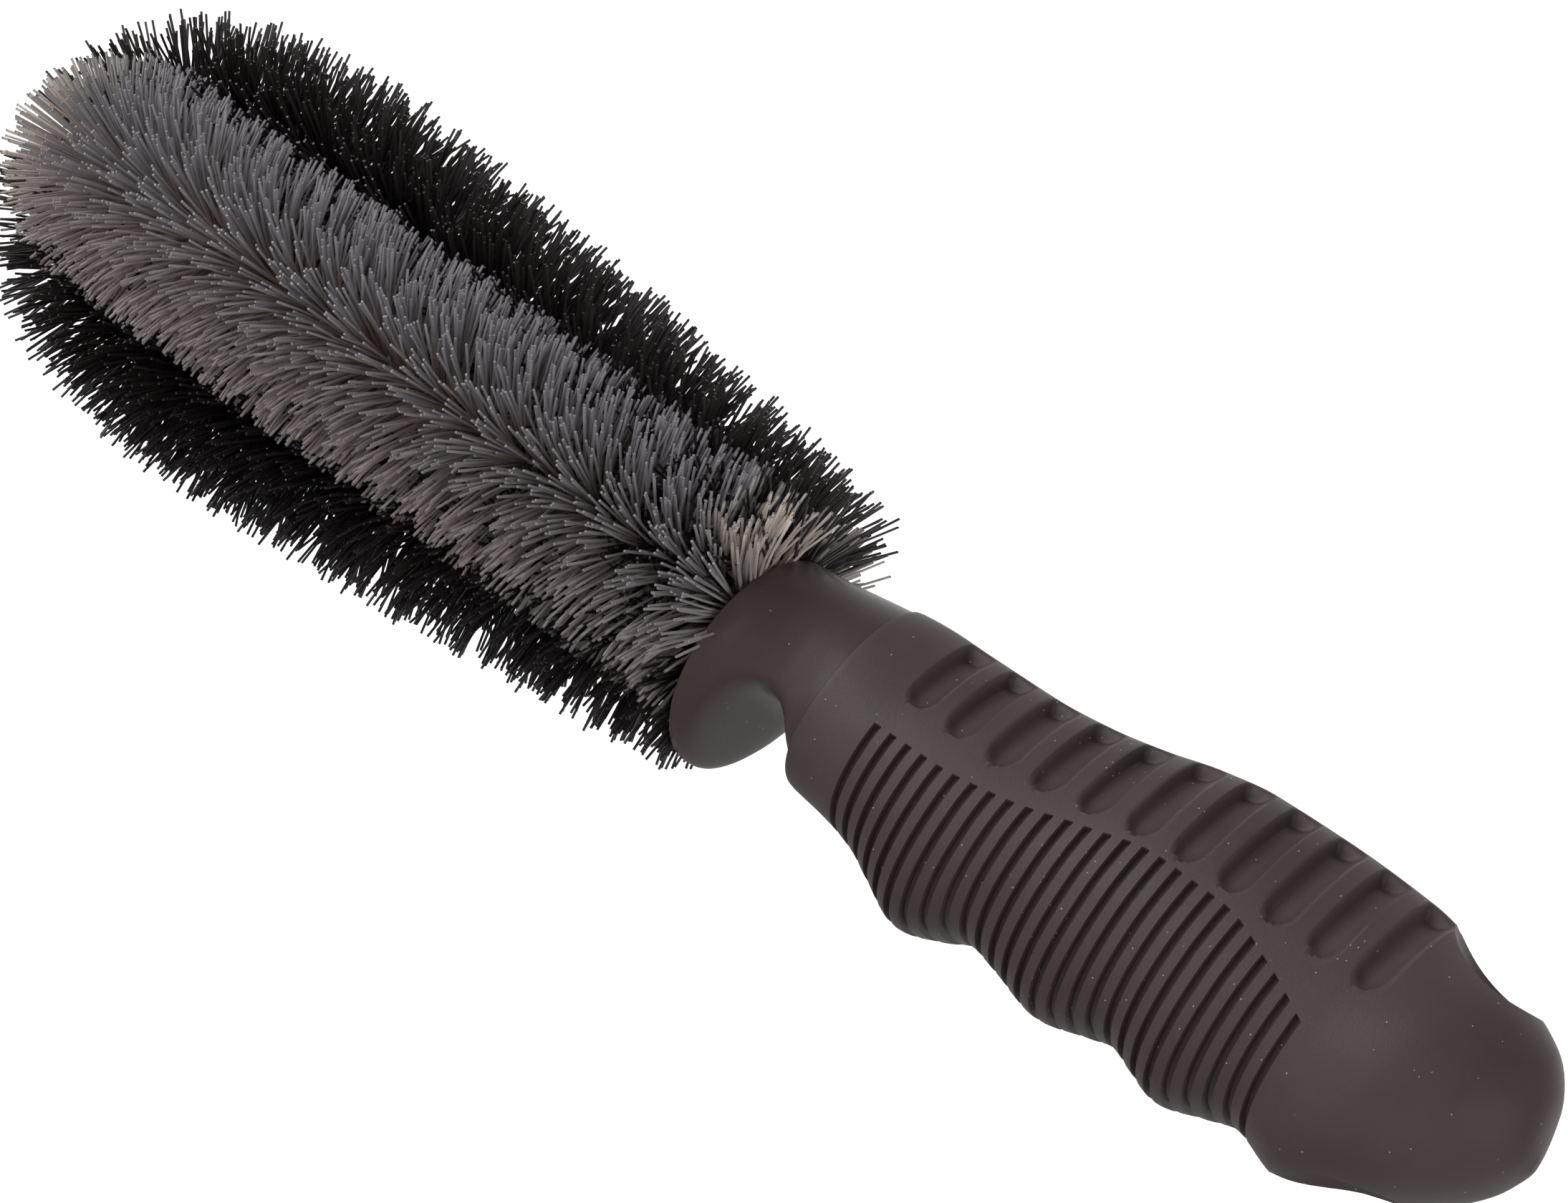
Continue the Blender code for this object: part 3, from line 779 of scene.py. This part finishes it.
def row_path(name, grey, sign, start, end):
    """The stretch of a leg between two shares of its length, as a line of joined points, and the length
    of the leg before it in metres."""
    leg, _, marks = loop_leg(grey, BRISTLE_PATH_POINTS, BRISTLE_START_X)
    first, last = (int(round(share * (len(leg) - 1))) for share in (start, end))
    points = [place(x, sign * w, 0.0, grey) for x, w in leg[first : last + 1]]
    edges = [(i, i + 1) for i in range(len(points) - 1)]
    return new_mesh_object(name, points, [], edges), marks[first] * MM


def build_row(name, node, tree, grey, sign, share, curl, stretch, seed, sizes, material, slot_name):
    """One piece of bristle: the filaments of one stretch of a leg."""
    row, run_before = row_path(name, grey, sign, *share)
    on_leg = sizes.grey_filaments if grey else sizes.black_filaments
    modifier = row.modifiers.new("bristle row", "NODES")
    modifier.node_group = tree
    values = {
        "Count": int(on_leg * (share[1] - share[0])),
        "Loop normal": (0.0, 0.0, 1.0) if grey else (0.0, 1.0, 0.0),
        "Length": sizes.filament_length,
        "Length spread": 0.05 if grey else 0.08,
        "Thickness": sizes.filament_thickness / 2,
        "Twist pitch": sizes.twist_pitch,
        "Run before": float(run_before),
        "Fan": FAN,
        "Tuft size": sizes.tuft_size,
        "Tuft pull": 0.5 if grey else 0.85,
        "Root lean": ROOT_LEAN if share[0] == 0 else 0.0,
        "Root curl": curl,
        "Root run": ROOT_RUN,
        "Bend": BEND,
        "End stretch": stretch,
        "Collar face": (COLLAR_AHEAD - ORIGIN_X) * MM,
        "Collar radius": (HALF_WIDTH[0][1] + COLLAR_OUTSIDE) * MM,
        "Collar drop": -WIDEST_Z[0][1] * MM,
        "Seed": seed,
        "Material": material,
    }
    for item in tree.interface.items_tree:
        if item.in_out == "INPUT" and item.name in values:
            modifier[item.identifier] = values[item.name]
    apply_modifiers(row)
    finish_piece(row, None, slot_name, node)


# Materials ---------------------------------------------------------------------------------------


def new_group(name, inputs, outputs):
    """An empty shader node group with named inputs and outputs, and its builder."""
    tree = bpy.data.node_groups.new(name, "ShaderNodeTree")
    for label, kind, value in inputs:
        tree.interface.new_socket(label, in_out="INPUT", socket_type=kind).default_value = value
    for label, kind in outputs:
        tree.interface.new_socket(label, in_out="OUTPUT", socket_type=kind)
    t = Tree(tree)
    return tree, t, t.add("NodeGroupInput").outputs


def moulded_group():
    """Moulded plastic or rubber: a fine grain, a cloudy bloom on the surface and settled dust specks."""
    inputs = (
        ("Colour", "NodeSocketColor", (0.05, 0.05, 0.05, 1)),
        ("Bloom", "NodeSocketColor", (0.1, 0.1, 0.1, 1)),
        ("Grain size", "NodeSocketFloat", 0.0003),
        ("Dust", "NodeSocketFloat", 0.5),
        ("Roughness", "NodeSocketFloat", 0.5),
    )
    outputs = (("Colour", "NodeSocketColor"), ("Roughness", "NodeSocketFloat"), ("Height", "NodeSocketFloat"))
    tree, t, given = new_group("moulded surface", inputs, outputs)
    place_on = t.add("ShaderNodeTexCoord").outputs["Object"]
    cloud = t.add("ShaderNodeTexNoise", {"Vector": place_on, "Scale": 55.0, "Detail": 5.0, "Roughness": 0.6})
    cloudy = t.add(
        "ShaderNodeMapRange",
        {"Value": cloud.outputs["Fac"], "From Min": 0.35, "From Max": 0.75, "To Min": 0.0, "To Max": 0.55},
    ).outputs[0]
    grain_scale = t.math("DIVIDE", 1.0, given["Grain size"])
    inputs = {"Vector": place_on, "Scale": grain_scale, "Detail": 2.0}
    grain = t.add("ShaderNodeTexNoise", inputs).outputs["Fac"]
    specks = t.add("ShaderNodeTexVoronoi", {"Vector": place_on, "Scale": 900.0}, feature="F1")
    close = t.math("LESS_THAN", specks.outputs["Distance"], 0.11)
    pick = t.add("ShaderNodeSeparateXYZ", {0: specks.outputs["Color"]}).outputs[0]
    patches = t.add("ShaderNodeTexNoise", {"Vector": place_on, "Scale": 90.0, "Detail": 3.0}).outputs["Fac"]
    chance = t.math("MULTIPLY", t.math("POWER", patches, 3.0), given["Dust"])
    dusty = t.math("MULTIPLY", close, t.math("LESS_THAN", pick, chance))
    bloomed = t.mix(cloudy, given["Colour"], given["Bloom"])
    mixed = t.mix(dusty, bloomed, (0.42, 0.4, 0.38, 1))
    rough = t.math("ADD", given["Roughness"], t.math("MULTIPLY", t.math("SUBTRACT", cloudy, 0.25), 0.22))
    rough = t.math("ADD", rough, t.math("MULTIPLY", dusty, 0.3))
    t.add("NodeGroupOutput", {"Colour": mixed, "Roughness": rough, "Height": t.math("ADD", grain, dusty)})
    return tree


def filament_group():
    """Nylon filament: each has its own tone, and some get painted backlight, a pale glow, at the brush's tip
    and by the collar; roots and lower filaments are painted warmer on the grey and darker on the black.
    """
    inputs = (
        ("Dark", "NodeSocketColor", (0.1, 0.1, 0.1, 1)),
        ("Light", "NodeSocketColor", (0.2, 0.2, 0.2, 1)),
        ("Cut end", "NodeSocketColor", (0.5, 0.5, 0.5, 1)),
        ("Root", "NodeSocketColor", (0.5, 0.5, 0.5, 1)),
        ("Painted backlight", "NodeSocketColor", (0.6, 0.55, 0.5, 1)),
    )
    tree, t, given = new_group("filament tone", inputs, (("Colour", "NodeSocketColor"),))
    along = t.add("ShaderNodeAttribute", attribute_name="along").outputs["Fac"]
    tone = t.add("ShaderNodeAttribute", attribute_name="tone").outputs["Fac"]
    own = t.mix(tone, given["Dark"], given["Light"])
    # Painted light at the roots: on the grey, the root colour stands in for warm light shining through the
    # nylon and is brighter than the body, to lift the shaded roots; on the black it is painted shade.
    outer = t.add(
        "ShaderNodeMapRange",
        {"Value": along, "From Min": 0.15, "From Max": 0.8, "To Min": 0.0, "To Max": 1.0},
    ).outputs[0]
    body = t.mix(outer, given["Root"], own)
    parts = t.add("ShaderNodeSeparateXYZ", {0: t.add("ShaderNodeTexCoord").outputs["Object"]}).outputs

    def between(value, stretch, zero=0.0, most=1.0):
        """Rises from 0 to the most over a stretch in millimetres, measured from this zero."""
        start, full = ((at - zero) * MM for at in stretch)
        inputs = {"Value": value, "From Min": start, "From Max": full, "To Min": 0.0, "To Max": most}
        return t.add("ShaderNodeMapRange", inputs).outputs[0]

    # Painted backlight: near the tip and by the collar, filaments are drawn towards a pale colour that stands
    # in for the white backdrop shining through the nylon.
    by_tip = between(parts[0], PAINTED_BACKLIGHT_TIP_X, ORIGIN_X)
    by_collar = between(parts[0], PAINTED_BACKLIGHT_COLLAR_X, ORIGIN_X)
    by_collar = t.math("MULTIPLY", by_collar, between(parts[2], PAINTED_BACKLIGHT_COLLAR_Z))
    varied = t.add("ShaderNodeMapRange", {"Value": tone, "To Min": 0.3, "To Max": 1.0}).outputs[0]
    painted_backlight = t.math("MULTIPLY", t.math("MAXIMUM", by_tip, by_collar), varied)
    # Painted light lower down: the lower a filament lies, the more it takes the root colour, warmer on the
    # grey as if backlit and darker on the black.
    painted_light_low = between(parts[2], PAINTED_LIGHT_LOW_Z, most=PAINTED_LIGHT_LOW_MOST)
    body = t.mix(painted_light_low, body, given["Root"])
    body = t.mix(painted_backlight, body, given["Painted backlight"])
    # The cut end's own colour is painted light at the tips. It is set at or below the body's tone, so the
    # squarely lit end faces stay small highlights.
    at_end = t.math("GREATER_THAN", along, CUT_END)
    whole = t.mix(at_end, body, given["Cut end"])
    t.add("NodeGroupOutput", {"Colour": whole})
    return tree


def new_material(name, **uniform):
    """A material with its Principled BSDF, whose plain values are set straight on the shader."""
    material = bpy.data.materials.new(name)
    material.use_nodes = True
    shader = material.node_tree.nodes["Principled BSDF"]
    for socket, value in uniform.items():
        shader.inputs[socket.replace("_", " ")].default_value = value
    return material, Tree(material.node_tree), shader


def moulded_material(name, colour, bloom, grain, dust, roughness, bump):
    """Plastic or rubber with the moulded surface. The grain's size is in metres."""
    material, t, shader = new_material(name, Specular_IOR_Level=0.35)
    surface = t.add("ShaderNodeGroup", node_tree=bpy.data.node_groups["moulded surface"])
    for socket, value in (
        ("Colour", (*colour, 1)), ("Bloom", (*bloom, 1)), ("Grain size", grain), ("Dust", dust),
        ("Roughness", roughness),
    ):
        surface.inputs[socket].default_value = value
    inputs = {"Height": surface.outputs["Height"], "Strength": bump, "Distance": 0.00012}
    raised = t.add("ShaderNodeBump", inputs).outputs[0]
    t.tree.links.new(surface.outputs["Colour"], shader.inputs["Base Color"])
    t.tree.links.new(surface.outputs["Roughness"], shader.inputs["Roughness"])
    t.tree.links.new(raised, shader.inputs["Normal"])
    return material


def filament_material(name, dark, light, end, root, painted_backlight, roughness):
    """Nylon in these shades, from its root to its cut end."""
    material, t, shader = new_material(name, Roughness=roughness)
    surface = t.add("ShaderNodeGroup", node_tree=bpy.data.node_groups["filament tone"])
    for socket, value in (
        ("Dark", dark), ("Light", light), ("Cut end", end), ("Root", root), ("Painted backlight", painted_backlight),
    ):
        surface.inputs[socket].default_value = (*value, 1)
    t.tree.links.new(surface.outputs["Colour"], shader.inputs["Base Color"])
    return material


def wire_material():
    """Drawn galvanised wire, a little mottled."""
    material, t, shader = new_material("galvanised_wire", Metallic=1.0)
    place_on = t.add("ShaderNodeTexCoord").outputs["Object"]
    mottle = t.add("ShaderNodeTexNoise", {"Vector": place_on, "Scale": 900.0, "Detail": 3.0}).outputs["Fac"]
    colour = t.mix(mottle, (0.32, 0.32, 0.33, 1), (0.62, 0.62, 0.63, 1))
    rough = t.math("ADD", 0.25, t.math("MULTIPLY", mottle, 0.2))
    t.tree.links.new(colour, shader.inputs["Base Color"])
    t.tree.links.new(rough, shader.inputs["Roughness"])
    return material


def floor_material():
    """Pale card, very slightly uneven, that gives back a little light of its own."""
    material, t, shader = new_material("pale_floor", Roughness=0.9)
    place_on = t.add("ShaderNodeTexCoord").outputs["Object"]
    mottle = t.add("ShaderNodeTexNoise", {"Vector": place_on, "Scale": 30.0, "Detail": 2.0}).outputs["Fac"]
    colour = t.mix(mottle, (0.9, 0.9, 0.9, 1), (0.94, 0.94, 0.94, 1))
    t.tree.links.new(colour, shader.inputs["Base Color"])
    glow = t.add("ShaderNodeEmission", {"Color": (1, 1, 1, 1), "Strength": BACKDROP_LIGHT}).outputs[0]
    seen = t.add("ShaderNodeLightPath").outputs["Is Camera Ray"]
    lit = t.add("ShaderNodeMixShader", {0: seen, 1: shader.outputs[0], 2: glow}).outputs[0]
    t.tree.links.new(lit, t.tree.nodes["Material Output"].inputs["Surface"])
    return material


# The add-on --------------------------------------------------------------------------------------


def length_property(name, description, default):
    return FloatProperty(
        name=name, description=description, default=default, min=0.00001, unit="LENGTH", subtype="DISTANCE"
    )


def colour_property(name, description, default):
    return FloatVectorProperty(
        name=name, description=description, default=default, min=0, max=1, size=3, subtype="COLOR"
    )


class WheelBrushSizes(bpy.types.PropertyGroup):
    """Sizes of the bristle and of the wires."""

    grey_filaments: IntProperty(
        name="Grey filaments", description="Filaments on each leg of the grey loop", default=7800, min=10
    )
    black_filaments: IntProperty(
        name="Black filaments", description="Filaments on each leg of the black loop", default=5400, min=10
    )
    filament_length: length_property("Filament length", "From the wire to the cut end", 0.022)
    filament_thickness: length_property("Filament thickness", "Across one filament", 0.0005)
    twist_pitch: length_property("Twist pitch", "Length of wire in which the bristle turns once", 0.017)
    tuft_size: length_property("Tuft size", "Width of the tufts that the ends gather in", 0.0052)
    wire_radius: length_property("Wire radius", "Half the thickness of one wire", 0.0009)
    wire_pitch: length_property("Wire pitch", "Length in which the two wires turn once", 0.0085)


class WheelBrushColours(bpy.types.PropertyGroup):
    """Colours of the handle and of the two bristles."""

    hard_plastic: colour_property("Hard plastic", "The collar and neck", (0.058, 0.041, 0.039))
    soft_rubber: colour_property("Soft grip", "The rubbery grip", (0.06, 0.042, 0.042))
    grey: colour_property("Grey filament", "The grey bristle", (0.34, 0.325, 0.345))
    black: colour_property("Black filament", "The black bristle", (0.028, 0.022, 0.022))


def scaled_colour(colour, factor):
    return tuple(min(1.0, channel * factor) for channel in colour)


class WHEELBRUSH_OT_handle(bpy.types.Operator):
    """Model the hard core with its collar, and the soft grip"""

    bl_idname = "wheelbrush.handle"
    bl_label = "Handle"

    def execute(self, context):
        colours = context.scene.wheel_brush_colours
        moulded_group()
        plastic, rubber = tuple(colours.hard_plastic), tuple(colours.soft_rubber)
        build_core(moulded_material(
            "satin_plastic", plastic, scaled_colour(plastic, 1.35), 0.0004, 0.35, 0.36, 0.12
        ))
        build_grip(moulded_material(
            "matt_rubber", rubber, scaled_colour(rubber, 1.5), 0.00035, 0.9, 0.5, 0.3
        ))
        return {"FINISHED"}


class WHEELBRUSH_OT_wires(bpy.types.Operator):
    """Twist two wires round the line of each loop"""

    bl_idname = "wheelbrush.wires"
    bl_label = "Wires"

    def execute(self, context):
        sizes = context.scene.wheel_brush_sizes
        material = wire_material()
        for grey, colour in ((False, "black"), (True, "grey")):
            for letter, phase in (("a", 0.0), ("b", math.pi)):
                node = f"{colour}_wire_{letter}"
                build_strand(f"{node}_twisted", node, grey, phase, sizes, material)
        return {"FINISHED"}


class WHEELBRUSH_OT_bristle(bpy.types.Operator):
    """Set the black and the grey bristle round the legs of the loops"""

    bl_idname = "wheelbrush.bristle"
    bl_label = "Bristle"

    def execute(self, context):
        sizes, colours = context.scene.wheel_brush_sizes, context.scene.wheel_brush_colours
        grey, black = tuple(colours.grey), tuple(colours.black)
        filament_group()
        # In both nylons the fifth colour is painted backlight: pale cream on the grey, a lighter black on the
        # black.
        grey_nylon = filament_material(
            # The cut-end shade, 0.75 of the grey, is painted to keep the tips' highlights small.
            "grey_nylon", scaled_colour(grey, 0.8), scaled_colour(grey, 1.25), scaled_colour(grey, 0.75),
            # The grey's root colour is painted warm light through the nylon.
            (0.48, 0.38, 0.34), (0.92, 0.81, 0.7), 0.4,
        )
        black_nylon = filament_material(
            # The cut-end shade, 0.9 of the black, is painted to keep the tips' highlights small.
            "black_nylon", scaled_colour(black, 0.7), scaled_colour(black, 1.6), scaled_colour(black, 0.9),
            # The black's root colour, darker than the body, is painted shade.
            scaled_colour(black, 0.6), scaled_colour(black, 1.6), 0.34,
        )
        tree = bristle_row_tree()
        rows = (
            ("black_bristles_upper", False, 1, 0.006, 0.0), ("black_bristles_lower", False, -1, 0.0, 0.0),
            ("grey_bristles_near", True, 1, 0.006, 0.03), ("grey_bristles_far", True, -1, 0.008, 0.03),
        )
        for number, (node, is_grey, sign, curl, stretch) in enumerate(rows):
            material, slot_name = (grey_nylon, "grey_bristle") if is_grey else (black_nylon, "black_bristle")
            common = (sizes, material, slot_name)
            seed = 10 * number
            leg = (node, tree, is_grey, sign)
            build_row(f"{node}_root", *leg, (0, PIECES_MEET), curl, 0.0, seed + 1, *common)
            build_row(f"{node}_end", *leg, (PIECES_MEET, 1), 0.0, stretch, seed + 6, *common)
        # The upper black piece goes on round the tip, which is a node of its own.
        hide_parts("black_bristles_upper", "black_bristles_tip")
        return {"FINISHED"}


def add_area(name, place_at, towards, watts):
    """A square soft light that faces a point."""
    data = bpy.data.lights.new(name, "AREA")
    data.size = LIGHT_SIZE
    data.energy = watts
    light = bpy.data.objects.new(name, data)
    bpy.context.scene.collection.objects.link(light)
    light.location = place_at
    light.rotation_euler = (Vector(towards) - light.location).to_track_quat("-Z", "Y").to_euler()


class WHEELBRUSH_OT_stage(bpy.types.Operator):
    """Lay a pale floor, light the room softly and set the camera"""

    bl_idname = "wheelbrush.stage"
    bl_label = "Stage"

    def execute(self, context):
        scene = context.scene
        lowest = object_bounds()[0]
        z = (lowest[2] - FLOOR_CLEARANCE) / MM
        corners = [(sx * FLOOR_REACH, sy * FLOOR_REACH, z) for sx, sy in ((-1, -1), (1, -1), (1, 1), (-1, 1))]
        floor = new_mesh_object("pale_floor", corners, [(0, 1, 2, 3)])
        floor.data.materials.append(floor_material())
        floor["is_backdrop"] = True
        world = bpy.data.worlds.new("white_room")
        world.use_nodes = True
        t = Tree(world.node_tree)
        seen = t.add("ShaderNodeLightPath").outputs["Is Camera Ray"]
        towards = t.add("ShaderNodeTexCoord").outputs["Generated"]
        inputs = {0: towards, 1: BACKDROP_SIDE}
        facing = t.add("ShaderNodeVectorMath", inputs, operation="DOT_PRODUCT").outputs["Value"]
        inputs = {"Value": facing, "From Max": 0.8, "To Min": ROOM_LIGHT, "To Max": BACKDROP_LIGHT}
        room = t.add("ShaderNodeMapRange", inputs, interpolation_type="SMOOTHSTEP").outputs[0]
        strength = t.add("ShaderNodeMapRange", {"Value": seen, "To Min": room, "To Max": BACKDROP_LIGHT})
        background = world.node_tree.nodes["Background"]
        background.inputs["Color"].default_value = (1, 1, 1, 1)
        t.tree.links.new(strength.outputs[0], background.inputs["Strength"])
        scene.world = world
        for light in LIGHTS:
            add_area(*light)
        scene.view_settings.view_transform = "Standard"
        camera_data = bpy.data.cameras.new("camera")
        camera_data.lens = CAMERA_LENS
        camera_data.sensor_width = CAMERA_SENSOR
        camera_data.clip_end = 100
        camera = bpy.data.objects.new("camera", camera_data)
        scene.collection.objects.link(camera)
        axes = Matrix((CAMERA_RIGHT, CAMERA_UP, CAMERA_BACK)).transposed()
        camera.matrix_world = Matrix.Translation(CAMERA_PLACE) @ axes.to_4x4()
        scene.camera = camera
        return {"FINISHED"}


class WHEELBRUSH_PT_panel(bpy.types.Panel):
    """Lists the brush's sizes, colours and pieces"""

    bl_idname = "WHEELBRUSH_PT_panel"
    bl_label = "Wheel Brush"
    bl_space_type = "VIEW_3D"
    bl_region_type = "UI"
    bl_category = "Wheel Brush"

    def draw(self, context):
        for group in (context.scene.wheel_brush_sizes, context.scene.wheel_brush_colours):
            box = self.layout.box()
            for name in type(group).__annotations__:
                box.prop(group, name)
        for operator in OPERATORS:
            self.layout.operator(operator.bl_idname)


OPERATORS = (WHEELBRUSH_OT_handle, WHEELBRUSH_OT_wires, WHEELBRUSH_OT_bristle, WHEELBRUSH_OT_stage)
CLASSES = (WheelBrushSizes, WheelBrushColours, *OPERATORS, WHEELBRUSH_PT_panel)


def register():
    for each in CLASSES:
        bpy.utils.register_class(each)
    bpy.types.Scene.wheel_brush_sizes = PointerProperty(type=WheelBrushSizes)
    bpy.types.Scene.wheel_brush_colours = PointerProperty(type=WheelBrushColours)


def unregister():
    del bpy.types.Scene.wheel_brush_sizes
    del bpy.types.Scene.wheel_brush_colours
    for each in reversed(CLASSES):
        bpy.utils.unregister_class(each)


def main():
    register()
    bpy.ops.wheelbrush.handle()
    bpy.ops.wheelbrush.wires()
    bpy.ops.wheelbrush.bristle()
    bpy.ops.wheelbrush.stage()


if __name__ == "__main__":
    main()
